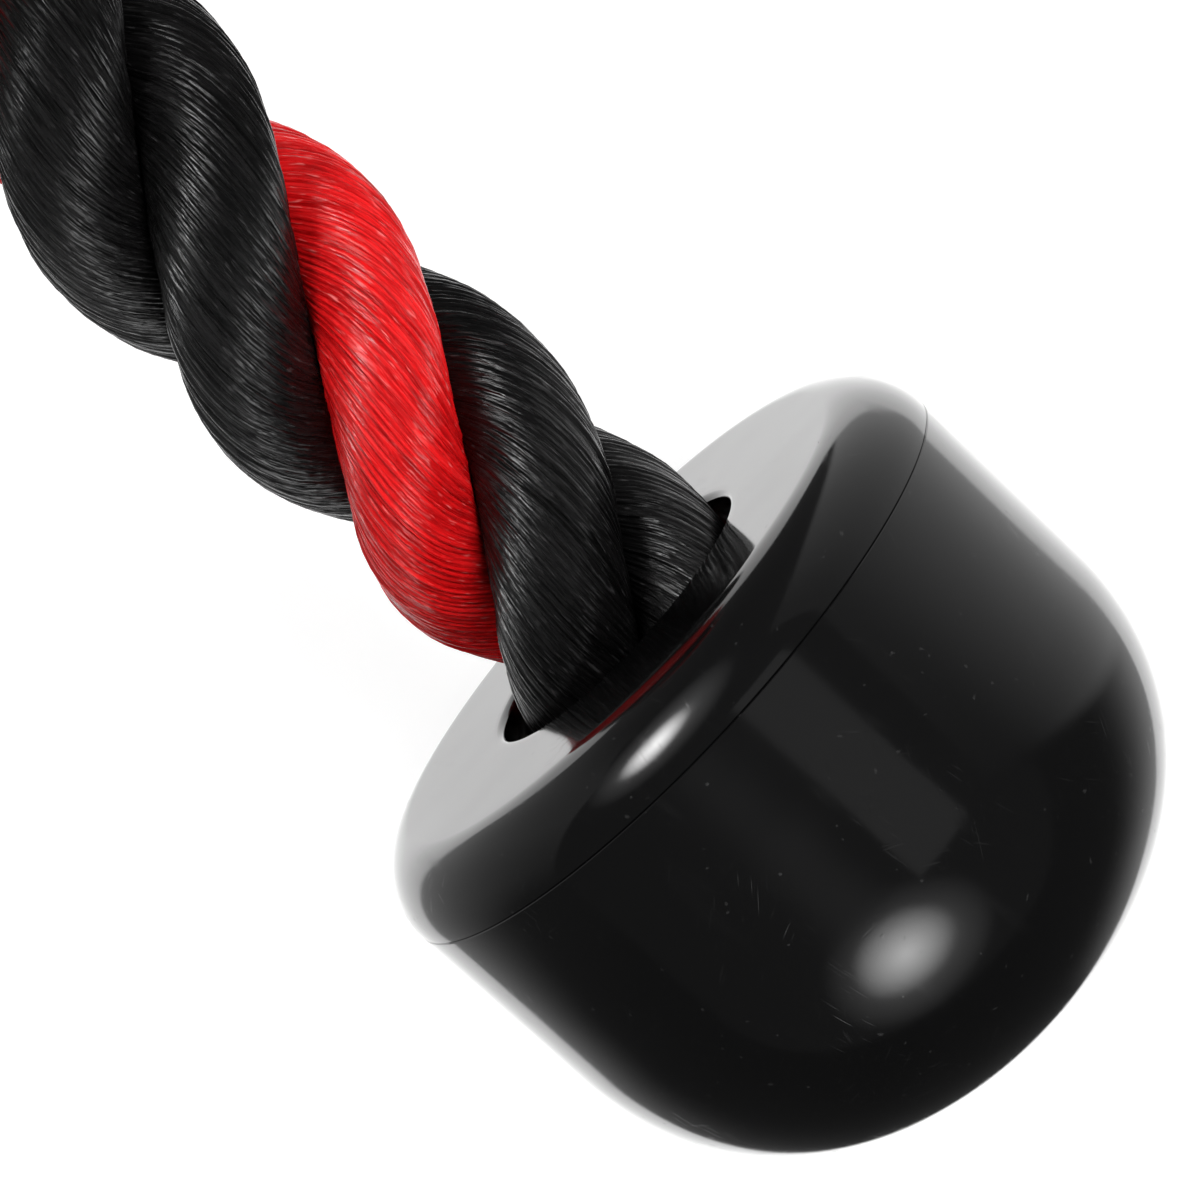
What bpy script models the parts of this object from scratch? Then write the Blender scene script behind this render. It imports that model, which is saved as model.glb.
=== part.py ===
"""Triceps rope attachment, lying open on a table: a thick rope held at its middle in a steel collar
with a swinging eye, and a two-part plastic stopper over a crimped sleeve at each of its ends.

Metres, +Z up. The origin is on the table, under the middle of the object's box.
"""

import math

import bmesh
import bpy
from mathutils import Matrix, Vector

# Gaps between neighbours
TOUCH_GAP = 0.0003
RUNNING_GAP = 0.0003
CUT_OVERRUN = 0.002

# Rope
ROPE_DIAMETER = 0.030
ROPE_RADIUS = ROPE_DIAMETER / 2
ROPE_POINT_SPACING = 0.015
ROPE_STUB = 0.002

# Stopper: a lid and a cup that meet at a seam round the widest place
STOPPER_RADIUS = 0.0375
LID_FACE_RADIUS = 0.0305
LID_SHOULDER_DEPTH = 0.0078
LID_THICKNESS = 0.0048
LID_HOLE_RADIUS = 0.0167
LID_HOLE_ROUNDING = 0.0010
LID_SKIRT_LENGTH = 0.0080
LID_SKIRT_THICKNESS = 0.0025
CUP_WALL = 0.0035
CUP_BARREL_DEPTH = 0.0220
CUP_BARREL_DRAFT = 0.00025
CUP_DOME_DEPTH = 0.0315
CUP_DOME_POWER = 2.2
CUP_FLOOR_THICKNESS = 0.0040
POST_OUTER_RADIUS = 0.0135
POST_INNER_RADIUS = 0.0090

# Crimped sleeve on the rope's end, and the washer that spreads its pull over the lid
WASHER_THICKNESS = 0.0025
WASHER_EDGE_GAP = 0.0022
WASHER_CHAMFER = 0.0005
CRIMP_LENGTH = 0.0280
CRIMP_WALL = 0.0037
CRIMP_CHAMFER = 0.0008
ROPE_END_STANDOUT = 0.0030

# Collar round the middle of the rope, with its rubber liner and two cross rivets
LINER_THICKNESS = 0.0012
LINER_LIP_HEIGHT = 0.0026
LINER_LIP_THICKNESS = 0.0015
COLLAR_LENGTH = 0.0440
COLLAR_WALL = 0.0032
COLLAR_EDGE_ROUNDING = 0.0010
RIVET_SHANK_RADIUS = 0.0025
RIVET_HEAD_RADIUS = 0.0042
RIVET_HEAD_HEIGHT = 0.0020
RIVET_INSET = 0.0075

# Clevis on the collar, and the eye that swings on its pin
PIN_RADIUS = 0.0040
PIN_HEAD_RADIUS = 0.0065
PIN_HEAD_HEIGHT = 0.0025
PIN_WASHER_THICKNESS = 0.0010
PIN_WASHER_CHAMFER = 0.0002
BOSS_RADIUS = 0.0080
BOSS_HEIGHT = 0.0120
BOSS_TO_COLLAR_GAP = 0.0015
LUG_THICKNESS = 0.0040
LUG_HALF_WIDTH = 0.0090
EYE_BAR_RADIUS = 0.0050
EYE_INNER_RADIUS = 0.0190
EYE_REACH = 0.0400
EYE_NECK_RADIUS = 0.0055

# How the legs lie: the collar's place in the plan, and the way that the stopper points
COLLAR_Y = 0.0799
STOPPER_HEADING = math.radians(-44.5)

# The right leg's route from the collar to the stopper's mouth: x, y, and how far the rope has risen
# from the collar's height to the stopper's, as a share of that rise
ROPE_ROUTE = [
    (0.0400, 0.0797, 0.000),
    (0.0509, 0.0787, 0.008),
    (0.0615, 0.0759, 0.028),
    (0.0698, 0.0722, 0.054),
    (0.0782, 0.0668, 0.090),
    (0.0855, 0.0601, 0.133),
    (0.0917, 0.0522, 0.182),
    (0.0966, 0.0436, 0.238),
    (0.1000, 0.0343, 0.297),
    (0.1025, 0.0245, 0.360),
    (0.1071, 0.0050, 0.490),
    (0.1136, -0.0139, 0.621),
    (0.1223, -0.0319, 0.745),
    (0.1331, -0.0486, 0.852),
    (0.1451, -0.0640, 0.936),
    (0.1580, -0.0791, 0.987),
    (0.1718, -0.0934, 1.000),
    (0.1862, -0.1072, 1.000),
    (0.2003, -0.1219, 1.000),
]
BEND_END_POINT = 9

# Facets
STOPPER_STEPS = 40
COLLAR_STEPS = 32
SMALL_STEPS = 20
EYE_RING_STEPS = 32
EYE_BAR_STEPS = 10
SHOULDER_POINTS = 6
DOME_POINTS = 10
ROUNDING_STEPS = 2
HEAD_STEPS = 4
HEAD_POWER = 2.5
ROPE_BEVEL_RESOLUTION = 4
CURVE_SUBSTEPS = 12
SMOOTH_ANGLE = math.radians(35)
MERGE_SHARE = 0.01

# Sizes that follow from the ones above
SLEEVE_BORE = ROPE_RADIUS + TOUCH_GAP
SKIRT_RADIUS = STOPPER_RADIUS - CUP_WALL - TOUCH_GAP
WASHER_RADIUS = SKIRT_RADIUS - LID_SKIRT_THICKNESS - WASHER_EDGE_GAP
LINER_RADIUS = SLEEVE_BORE + LINER_THICKNESS
COLLAR_BORE = LINER_RADIUS + TOUCH_GAP
COLLAR_RADIUS = COLLAR_BORE + COLLAR_WALL
COLLAR_HEIGHT = COLLAR_RADIUS * math.cos(math.pi / COLLAR_STEPS)
STOPPER_HEIGHT = STOPPER_RADIUS * math.cos(math.pi / STOPPER_STEPS)
LINER_HALF_LENGTH = COLLAR_LENGTH / 2 + TOUCH_GAP + LINER_LIP_THICKNESS
MIDDLE_HALF_LENGTH = LINER_HALF_LENGTH + TOUCH_GAP
RIVET_PLACE = COLLAR_LENGTH / 2 - RIVET_INSET
WASHER_START = LID_THICKNESS + TOUCH_GAP
CRIMP_START = WASHER_START + WASHER_THICKNESS + TOUCH_GAP
CRIMP_END = CRIMP_START + CRIMP_LENGTH
ROPE_END = CRIMP_END + ROPE_END_STANDOUT
POST_TOP = ROPE_END + RUNNING_GAP
PIN_Y = COLLAR_Y + COLLAR_RADIUS + BOSS_TO_COLLAR_GAP + BOSS_RADIUS
PIN_WASHER_START = BOSS_HEIGHT / 2 + RUNNING_GAP
LUG_START = PIN_WASHER_START + PIN_WASHER_THICKNESS + RUNNING_GAP
LUG_END = LUG_START + LUG_THICKNESS
EYE_RING_RADIUS = EYE_INNER_RADIUS + EYE_BAR_RADIUS

BLACK_PLASTIC = ((0.012, 0.012, 0.013), 0.18, 0.0)
BLACK_ROPE = ((0.018, 0.018, 0.019), 0.55, 0.0)
BLACK_RUBBER = ((0.020, 0.020, 0.020), 0.75, 0.0)
CHROME = ((0.780, 0.785, 0.790), 0.12, 1.0)
ZINC = ((0.560, 0.565, 0.570), 0.38, 1.0)


def clear_scene():
    for obj in list(bpy.data.objects):
        bpy.data.objects.remove(obj, do_unlink=True)


def finish_object(obj, look, parent):
    """Gives the object its own material, and hangs it on its joint's empty."""
    colour, roughness, metallic = look
    material = bpy.data.materials.new(obj.name)
    material.use_nodes = True
    shader = material.node_tree.nodes["Principled BSDF"]
    shader.inputs["Base Color"].default_value = (*colour, 1)
    shader.inputs["Roughness"].default_value = roughness
    shader.inputs["Metallic"].default_value = metallic
    obj.data.materials.append(material)
    obj.parent = parent
    return obj


def object_of(name, bm, look, parent):
    bmesh.ops.recalc_face_normals(bm, faces=bm.faces)
    mesh = bpy.data.meshes.new(name)
    bm.to_mesh(mesh)
    bm.free()
    mesh.shade_smooth()
    mesh.set_sharp_from_angle(angle=SMOOTH_ANGLE)
    obj = bpy.data.objects.new(name, mesh)
    bpy.context.scene.collection.objects.link(obj)
    return finish_object(obj, look, parent)


def empty(name, place, parent=None):
    """An empty at a place in its parent's frame: a Vector, or a Matrix that also turns it."""
    obj = bpy.data.objects.new(name, None)
    bpy.context.scene.collection.objects.link(obj)
    obj.parent = parent
    obj.matrix_local = place if isinstance(place, Matrix) else Matrix.Translation(place)
    return obj


def turned(profile, steps, closed):
    """A bmesh of the profile, (radius, height) pairs, spun round Z with a facet square to -X.

    A closed profile makes a ring; an open one starts and ends on the axis.
    """
    bm = bmesh.new()
    half_step = math.pi / steps
    points = [
        bm.verts.new((radius * math.cos(half_step), radius * math.sin(half_step), height))
        for radius, height in profile
    ]
    ends = points[1:] + points[:1] if closed else points[1:]
    edges = [bm.edges.new(pair) for pair in zip(points, ends)]
    bmesh.ops.spin(
        bm, geom=points + edges, cent=(0, 0, 0), axis=(0, 0, 1), angle=math.tau, steps=steps, use_merge=True
    )
    bmesh.ops.remove_doubles(bm, verts=bm.verts, dist=TOUCH_GAP * MERGE_SHARE)
    return bm


def arc(centre, radii, start, end, count, power=2):
    """Points on a quarter of a superellipse, (radius, height) pairs, from one angle to another."""
    points = []
    for i in range(count + 1):
        angle = math.radians(start + (end - start) * i / count)
        across = math.copysign(abs(math.cos(angle)) ** (2 / power), math.cos(angle))
        along = math.copysign(abs(math.sin(angle)) ** (2 / power), math.sin(angle))
        if abs(math.cos(angle)) < 1e-9:
            across = 0
        points.append((centre[0] + radii[0] * across, centre[1] + radii[1] * along))
    return points


def cylinder(radius, start, end, steps, turn=None):
    """A bmesh of a plain cylinder along Z from start to end, turned by a matrix."""
    bm = turned([(0, start), (radius, start), (radius, end), (0, end)], steps, closed=False)
    if turn:
        bmesh.ops.transform(bm, matrix=turn, verts=bm.verts)
    return bm


def cutter(name, bm, parent):
    """A hidden helper object for a Boolean."""
    obj = object_of(name, bm, BLACK_RUBBER, parent)
    obj.hide_render = True
    obj.display_type = "WIRE"
    return obj


def combine(obj, other, operation):
    modifier = obj.modifiers.new(f"{operation.title()} {other.name}", "BOOLEAN")
    modifier.operation = operation
    modifier.object = other


def make_lid(name, parent):
    """The stopper's upper part: a flat face round the hole, a rounded shoulder, and a skirt in the cup."""
    shoulder = arc(
        (LID_FACE_RADIUS, LID_SHOULDER_DEPTH),
        (STOPPER_RADIUS - LID_FACE_RADIUS, -LID_SHOULDER_DEPTH),
        90,
        0,
        SHOULDER_POINTS,
    )
    mouth = arc(
        (LID_HOLE_RADIUS + LID_HOLE_ROUNDING, LID_HOLE_ROUNDING),
        (-LID_HOLE_ROUNDING, -LID_HOLE_ROUNDING),
        0,
        90,
        ROUNDING_STEPS,
    )
    skirt_end = LID_SHOULDER_DEPTH + LID_SKIRT_LENGTH
    inside = [
        (SKIRT_RADIUS, LID_SHOULDER_DEPTH),
        (SKIRT_RADIUS, skirt_end),
        (SKIRT_RADIUS - LID_SKIRT_THICKNESS, skirt_end),
        (SKIRT_RADIUS - LID_SKIRT_THICKNESS, LID_THICKNESS),
        (LID_HOLE_RADIUS, LID_THICKNESS),
    ]
    return object_of(name, turned(mouth + shoulder + inside, STOPPER_STEPS, True), BLACK_PLASTIC, parent)


def make_cup(name, parent):
    """The stopper's lower part: a barrel with a little draft and a domed end, hollow, with a post
    that keeps the rope's end from going deeper."""
    rim = LID_SHOULDER_DEPTH + TOUCH_GAP
    barrel_end = LID_SHOULDER_DEPTH + CUP_BARREL_DEPTH
    barrel_radius = STOPPER_RADIUS - CUP_BARREL_DRAFT
    dome = arc(
        (0, barrel_end), (barrel_radius, CUP_DOME_DEPTH), 0, 90, DOME_POINTS, CUP_DOME_POWER
    )
    inner_radius = STOPPER_RADIUS - CUP_WALL
    inner_depth = CUP_DOME_DEPTH - CUP_FLOOR_THICKNESS
    inner_dome = arc(
        (0, barrel_end), (inner_radius - CUP_BARREL_DRAFT, inner_depth), 0, 90, DOME_POINTS, CUP_DOME_POWER
    )
    floor = barrel_end + inner_depth
    outside_post = [point for point in inner_dome if point[0] > POST_OUTER_RADIUS]
    foot = outside_post[-1][1]
    post = [
        (POST_OUTER_RADIUS, foot + (floor - foot) / 2),
        (POST_OUTER_RADIUS, POST_TOP),
        (POST_INNER_RADIUS, POST_TOP),
        (POST_INNER_RADIUS, floor),
        (0, floor),
    ]
    profile = dome[::-1] + [(STOPPER_RADIUS, rim), (inner_radius, rim)] + outside_post + post
    return object_of(name, turned(profile, STOPPER_STEPS, False), BLACK_PLASTIC, parent)


def make_sleeve(name, bore, radius, start, end, chamfer, steps, look, parent):
    """A ring with chamfered outer edges, along its parent's Z."""
    profile = [
        (bore, start),
        (radius - chamfer, start),
        (radius, start + chamfer),
        (radius, end - chamfer),
        (radius - chamfer, end),
        (bore, end),
    ]
    return object_of(name, turned(profile, steps, True), look, parent)


def smooth_points(line, first, last, spacing):
    """Points about one spacing apart on a Catmull-Rom curve through the line, from one of its points to
    another. Both ends run straight for a short stub, square to what they meet."""
    padded = [2 * line[0] - line[1], *line, 2 * line[-1] - line[-2]]
    fine = []
    for i in range(first, last):
        a, b, c, d = padded[i : i + 4]
        for step in range(CURVE_SUBSTEPS):
            t = step / CURVE_SUBSTEPS
            fine.append(
                (2 * b + (c - a) * t + (2 * a - 5 * b + 4 * c - d) * t**2 + (3 * b - a - 3 * c + d) * t**3) / 2
            )
    fine.append(line[last])
    lengths = [0]
    for a, b in zip(fine, fine[1:]):
        lengths.append(lengths[-1] + (b - a).length)
    count = max(2, round(lengths[-1] / spacing))
    even = []
    for i in range(1, count):
        wanted = lengths[-1] * i / count
        j = max(k for k, length in enumerate(lengths) if length <= wanted)
        share = (wanted - lengths[j]) / (lengths[j + 1] - lengths[j])
        even.append(fine[j].lerp(fine[j + 1], share))
    out = (padded[first + 2] - padded[first]).normalized()
    home = (padded[last + 2] - padded[last]).normalized()
    start, end = line[first] + out * TOUCH_GAP / 2, line[last] - home * TOUCH_GAP / 2
    return [start, start + out * ROPE_STUB, *even, end - home * ROPE_STUB, end]


def make_tube(name, points, parent, origin):
    """A plain round tube along the points, with filled caps and its origin on its joint's axis."""
    data = bpy.data.curves.new(name, "CURVE")
    data.dimensions = "3D"
    data.bevel_depth = ROPE_RADIUS
    data.bevel_resolution = ROPE_BEVEL_RESOLUTION
    data.use_fill_caps = True
    spline = data.splines.new("POLY")
    spline.points.add(len(points) - 1)
    for target, point in zip(spline.points, points):
        target.co = (*(point - origin), 1)
    obj = bpy.data.objects.new(name, data)
    bpy.context.scene.collection.objects.link(obj)
    return finish_object(obj, BLACK_ROPE, parent)


def leg_route(side):
    """The leg's route in the world, from beside the collar to the mouth of its stopper."""
    rise = STOPPER_HEIGHT - COLLAR_HEIGHT
    return [Vector((side * x, y, COLLAR_HEIGHT + share * rise)) for x, y, share in ROPE_ROUTE]


def bend_pivot(route):
    """Where the collar's axis and the leg's first direction cross in the plan."""
    start = route[BEND_END_POINT]
    along = route[BEND_END_POINT + 1] - route[BEND_END_POINT - 1]
    reach = (COLLAR_Y - start.y) / along.y
    return Vector((start.x + along.x * reach, COLLAR_Y, COLLAR_HEIGHT))


def stopper_frame(route, side):
    """Z into the stopper along the rope's end, X down, at the middle of the lid's face."""
    into = Vector((side * math.cos(STOPPER_HEADING), math.sin(STOPPER_HEADING), 0))
    down = Vector((0, 0, -1))
    turn = Matrix((down, into.cross(down), into)).transposed()
    return Matrix.Translation(route[-1]) @ turn.to_4x4()


def make_leg(side_name, side):
    """One half of the rope, and the stopper over its end."""
    route = leg_route(side)
    pivot = bend_pivot(route)
    leg = empty(f"{side_name}_leg_bend", pivot)
    place = stopper_frame(route, side)
    rope_end = empty(f"{side_name}_rope_end", Matrix.Translation(-pivot) @ place, leg)
    spin = empty(f"{side_name}_stopper_spin", Matrix.Identity(4), rope_end)

    beside_collar = Vector((side * (MIDDLE_HALF_LENGTH + TOUCH_GAP / 2), COLLAR_Y, COLLAR_HEIGHT))
    into = place.col[2].to_3d()
    inside = [route[-1] + into * depth for depth in (WASHER_START, CRIMP_END, ROPE_END)]
    line = [beside_collar, *route, *inside]
    bend_end = BEND_END_POINT + 1
    bend = smooth_points(line, 0, bend_end, ROPE_POINT_SPACING)
    make_tube(f"{side_name}_rope_bend", bend, None, Vector((0, 0, 0)))
    free = smooth_points(line, bend_end, len(line) - 1, ROPE_POINT_SPACING)
    make_tube(f"{side_name}_rope_leg", free, leg, pivot)

    make_sleeve(
        f"{side_name}_retaining_washer",
        SLEEVE_BORE,
        WASHER_RADIUS,
        WASHER_START,
        WASHER_START + WASHER_THICKNESS,
        WASHER_CHAMFER,
        COLLAR_STEPS,
        ZINC,
        rope_end,
    )
    crimp_radius = SLEEVE_BORE + CRIMP_WALL
    make_sleeve(
        f"{side_name}_crimp_sleeve",
        SLEEVE_BORE,
        crimp_radius,
        CRIMP_START,
        CRIMP_END,
        CRIMP_CHAMFER,
        COLLAR_STEPS,
        ZINC,
        rope_end,
    )
    make_lid(f"{side_name}_stopper_lid", spin)
    make_cup(f"{side_name}_stopper_cup", spin)


def rounded_ring(bore, radius, start, end, rounding):
    """A ring's profile with rounded outer edges."""
    middle = radius - rounding
    first = arc((middle, start + rounding), (rounding, -rounding), 90, 0, ROUNDING_STEPS)
    last = arc((middle, end - rounding), (rounding, rounding), 0, 90, ROUNDING_STEPS)
    return [(bore, start), *first, *last, (bore, end)]


def lug_blank(bottom, top):
    """A plate that grows out of the collar's wall and ends in a half round about the pin."""
    bm = bmesh.new()
    inner_wall = math.sqrt(COLLAR_BORE**2 - LUG_START**2)
    outer_wall = math.sqrt(COLLAR_RADIUS**2 - LUG_END**2)
    root = COLLAR_Y + (inner_wall + outer_wall) / 2 - PIN_Y
    outline = [(-LUG_HALF_WIDTH, root)]
    outline += [
        (LUG_HALF_WIDTH * math.cos(angle), LUG_HALF_WIDTH * math.sin(angle))
        for angle in (math.pi * (1 - i / SMALL_STEPS) for i in range(SMALL_STEPS + 1))
    ]
    outline.append((LUG_HALF_WIDTH, root))
    face = bm.faces.new([bm.verts.new((x, y, bottom)) for x, y in outline])
    made = bmesh.ops.extrude_face_region(bm, geom=[face])
    moved = [item for item in made["geom"] if isinstance(item, bmesh.types.BMVert)]
    bmesh.ops.translate(bm, vec=(0, 0, top - bottom), verts=moved)
    bmesh.ops.recalc_face_normals(bm, faces=bm.faces)
    return bm


def rivet_bores(radius, length, parent):
    """Cross bores for the two rivets through the collar, the liner and the rope."""
    bores = []
    for number, side in enumerate((-1, 1), 1):
        turn = Matrix.Translation((side * RIVET_PLACE, 0, 0)) @ Matrix.Rotation(math.pi / 2, 4, "X")
        bores.append(cutter(f"rivet_bore_{number}", cylinder(radius, -length, length, SMALL_STEPS, turn), parent))
    return bores


def headed_pin(shank, head, head_height, half_length):
    """The profile of a rivet along Z with a domed head at each end."""
    top = arc((0, half_length), (head, head_height), 0, 90, HEAD_STEPS, HEAD_POWER)
    bottom = [(radius, -height) for radius, height in top[::-1]]
    return bottom + [(shank, -half_length), (shank, half_length)] + top


def make_collar():
    """The collar, its liner and rivets, and the stretch of rope inside it. The empty stands at the
    collar's middle, unturned; turned pieces lie along X."""
    centre = empty("collar_middle", Vector((0, COLLAR_Y, COLLAR_HEIGHT)))
    along_x = Matrix(((0, 0, 1, 0), (0, 1, 0, 0), (-1, 0, 0, 0), (0, 0, 0, 1)))
    half = COLLAR_LENGTH / 2
    bores = rivet_bores(RIVET_SHANK_RADIUS + RUNNING_GAP, COLLAR_RADIUS + CUT_OVERRUN, centre)

    bm = turned(
        rounded_ring(COLLAR_BORE, COLLAR_RADIUS, -half, half, COLLAR_EDGE_ROUNDING), COLLAR_STEPS, True
    )
    bmesh.ops.transform(bm, matrix=along_x, verts=bm.verts)
    collar = object_of("centre_collar", bm, CHROME, centre)
    pin_place = empty("eye_swing", Vector((0, PIN_Y - COLLAR_Y, 0)), centre)
    for number, (bottom, top) in enumerate(((LUG_START, LUG_END), (-LUG_END, -LUG_START)), 1):
        combine(collar, cutter(f"lug_{number}", lug_blank(bottom, top), pin_place), "UNION")
    lug_reach = LUG_END + CUT_OVERRUN
    pin_bore = cylinder(PIN_RADIUS + RUNNING_GAP, -lug_reach, lug_reach, SMALL_STEPS)
    combine(collar, cutter("lug_bore", pin_bore, pin_place), "DIFFERENCE")

    lip = LINER_RADIUS + LINER_LIP_HEIGHT
    side = [(LINER_RADIUS, half + TOUCH_GAP), (lip, half + TOUCH_GAP), (lip, LINER_HALF_LENGTH)]
    end = [(SLEEVE_BORE, LINER_HALF_LENGTH)]
    right = side + end
    left = [(radius, -height) for radius, height in right[::-1]]
    bm = turned(left + right, COLLAR_STEPS, True)
    bmesh.ops.transform(bm, matrix=along_x, verts=bm.verts)
    liner = object_of("collar_liner", bm, BLACK_RUBBER, centre)

    bm = cylinder(ROPE_RADIUS, -MIDDLE_HALF_LENGTH, MIDDLE_HALF_LENGTH, SMALL_STEPS, along_x)
    middle = object_of("rope_middle", bm, BLACK_ROPE, centre)
    for obj in (collar, liner, middle):
        for bore in bores:
            combine(obj, bore, "DIFFERENCE")

    half_grip = COLLAR_RADIUS + TOUCH_GAP
    for name, sign in (("right_collar_rivet", 1), ("left_collar_rivet", -1)):
        profile = headed_pin(RIVET_SHANK_RADIUS, RIVET_HEAD_RADIUS, RIVET_HEAD_HEIGHT, half_grip)
        bm = turned(profile, SMALL_STEPS, False)
        turn = Matrix.Translation((sign * RIVET_PLACE, 0, 0)) @ Matrix.Rotation(math.pi / 2, 4, "X")
        bmesh.ops.transform(bm, matrix=turn, verts=bm.verts)
        object_of(name, bm, ZINC, centre)
    return pin_place


def make_eye(pin_place):
    """The pin through the clevis, its two washers, and the eye that swings on it."""
    half_grip = LUG_END + TOUCH_GAP
    bm = turned(headed_pin(PIN_RADIUS, PIN_HEAD_RADIUS, PIN_HEAD_HEIGHT, half_grip), SMALL_STEPS, False)
    object_of("eye_pin", bm, ZINC, pin_place)
    washer_bore = PIN_RADIUS + RUNNING_GAP
    for name, start in (
        ("upper_pin_washer", PIN_WASHER_START),
        ("lower_pin_washer", -PIN_WASHER_START - PIN_WASHER_THICKNESS),
    ):
        end = start + PIN_WASHER_THICKNESS
        make_sleeve(
            name, washer_bore, BOSS_RADIUS, start, end, PIN_WASHER_CHAMFER, SMALL_STEPS, ZINC, pin_place
        )

    ring = turned(
        [
            (
                EYE_RING_RADIUS + EYE_BAR_RADIUS * math.cos(math.tau * i / EYE_BAR_STEPS),
                EYE_BAR_RADIUS * math.sin(math.tau * i / EYE_BAR_STEPS),
            )
            for i in range(EYE_BAR_STEPS)
        ],
        EYE_RING_STEPS,
        True,
    )
    bmesh.ops.translate(ring, vec=(0, EYE_REACH, 0), verts=ring.verts)
    eye = object_of("swinging_eye", ring, CHROME, pin_place)
    boss = cylinder(BOSS_RADIUS, -BOSS_HEIGHT / 2, BOSS_HEIGHT / 2, SMALL_STEPS)
    combine(eye, cutter("eye_boss", boss, pin_place), "UNION")
    neck_start = (PIN_RADIUS + BOSS_RADIUS) / 2
    neck_end = EYE_REACH - EYE_RING_RADIUS
    neck = cylinder(EYE_NECK_RADIUS, -neck_end, -neck_start, SMALL_STEPS, Matrix.Rotation(math.pi / 2, 4, "X"))
    combine(eye, cutter("eye_neck", neck, pin_place), "UNION")
    bore_reach = BOSS_HEIGHT / 2 + CUT_OVERRUN
    bore = cylinder(PIN_RADIUS + RUNNING_GAP, -bore_reach, bore_reach, SMALL_STEPS)
    combine(eye, cutter("eye_bore", bore, pin_place), "DIFFERENCE")


clear_scene()
make_eye(make_collar())
make_leg("right", 1)
make_leg("left", -1)
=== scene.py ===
# %% [markdown]
# # Dressing a triceps rope attachment
#
# The object is a thick three-strand rope with a plastic stopper on each end. It hangs from a gym's
# cable machine by the steel eye at its middle. The solids of the frame are its plain forms; this lesson
# puts the fine forms and the finishes over them, in the same place and size, in metres.

# %% Load the frame's solids
import math

import bpy
import numpy as np
from mathutils import Matrix, Vector


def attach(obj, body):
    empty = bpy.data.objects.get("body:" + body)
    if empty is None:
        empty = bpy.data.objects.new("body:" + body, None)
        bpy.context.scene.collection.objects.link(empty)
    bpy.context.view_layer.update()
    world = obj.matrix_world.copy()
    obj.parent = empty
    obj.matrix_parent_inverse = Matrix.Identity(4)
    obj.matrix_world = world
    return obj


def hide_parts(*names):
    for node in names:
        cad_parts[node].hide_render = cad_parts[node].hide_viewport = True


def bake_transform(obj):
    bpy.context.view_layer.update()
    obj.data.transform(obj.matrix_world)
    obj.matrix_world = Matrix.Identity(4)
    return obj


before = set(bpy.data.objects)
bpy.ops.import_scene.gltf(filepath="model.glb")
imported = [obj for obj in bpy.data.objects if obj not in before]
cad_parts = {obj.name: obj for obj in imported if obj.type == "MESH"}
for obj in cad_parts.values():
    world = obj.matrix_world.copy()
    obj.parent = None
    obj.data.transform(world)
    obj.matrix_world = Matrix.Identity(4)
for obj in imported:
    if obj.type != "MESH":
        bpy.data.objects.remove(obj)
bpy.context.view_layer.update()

# %% [markdown]
# ## The camera
#
# The photograph looks down on the right-hand stopper from close by. Its lens was worked out from three
# things that are surely round or straight: the stopper's outline, the seam round it and the hole in its
# lid. A long lens has little perspective, so the camera can stand where the photographer stood.

# %% The camera
CAMERA_PLACE = Vector((0.12977, 0.00016, 0.67814))
CAMERA_AIM = Vector((0.19888, -0.12018, 0.037384))
CAMERA_UP = Vector((0.03562, 0.98288, -0.18076))
CAMERA_LENS = 192.37


def in_scene(name, data):
    """An object of the scene that holds the data, at the origin."""
    obj = bpy.data.objects.new(name, data)
    bpy.context.scene.collection.objects.link(obj)
    return obj


def make_camera():
    """Looks from place to aim; its three axes are the columns of its matrix."""
    forward = (CAMERA_AIM - CAMERA_PLACE).normalized()
    right = forward.cross(CAMERA_UP).normalized()
    up = right.cross(forward)
    camera = in_scene("camera", bpy.data.cameras.new("camera"))
    turn = Matrix((right, up, -forward)).transposed()
    camera.matrix_world = Matrix.Translation(CAMERA_PLACE) @ turn.to_4x4()
    camera.data.lens = CAMERA_LENS
    camera.data.clip_start = 0.01
    bpy.context.scene.camera = camera
    return camera


print("camera lens", make_camera().data.lens, "mm")

# %% [markdown]
# ## Surfaces from arrays
#
# Every new piece is a grid of points that a formula fills all at once. The grid may close on itself
# sideways, as a tube does, or both ways, as a ring does. A tube's open ends are closed by a fan of
# triangles. At the end the enclosed volume tells whether the faces point outwards.

# %% A grid of points becomes a mesh
def link_mesh(name, points, faces):
    """An object at the origin whose faces are turned outwards if the volume they enclose is negative.

    The volume is a sixth of the sum, over a fan of triangles in each face, of a . (b x c).
    """
    volume = 0
    for group in faces:
        corners = points[group]
        for i in range(1, group.shape[1] - 1):
            crossed = np.cross(corners[:, i], corners[:, i + 1])
            volume += np.einsum("ij,ij->i", corners[:, 0], crossed).sum() / 6
    if volume < 0:
        faces = [group[:, ::-1] for group in faces]
    mesh = bpy.data.meshes.new(name)
    mesh.from_pydata(points.tolist(), [], [face for group in faces for face in group.tolist()])
    mesh.shade_smooth()
    return in_scene(name, mesh)


def grid_faces(rows, columns, ring):
    """Quads between neighbours of a grid that closes sideways, and also end to end if it is a ring."""
    row = np.arange(rows if ring else rows - 1)[:, None]
    column = np.arange(columns)[None, :]
    after = (row + 1) % rows
    beside = (column + 1) % columns
    row, after = row * columns, after * columns
    corners = (row + column, row + beside, after + beside, after + column)
    return np.stack(np.broadcast_arrays(*corners), -1).reshape(-1, 4)


def fan_faces(ring, middle, flip):
    """Triangles from the points of a ring to its middle point."""
    beside = np.roll(ring, -1)
    pair = (beside, ring) if flip else (ring, beside)
    return np.stack((*pair, np.full(len(ring), middle)), -1)


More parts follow.
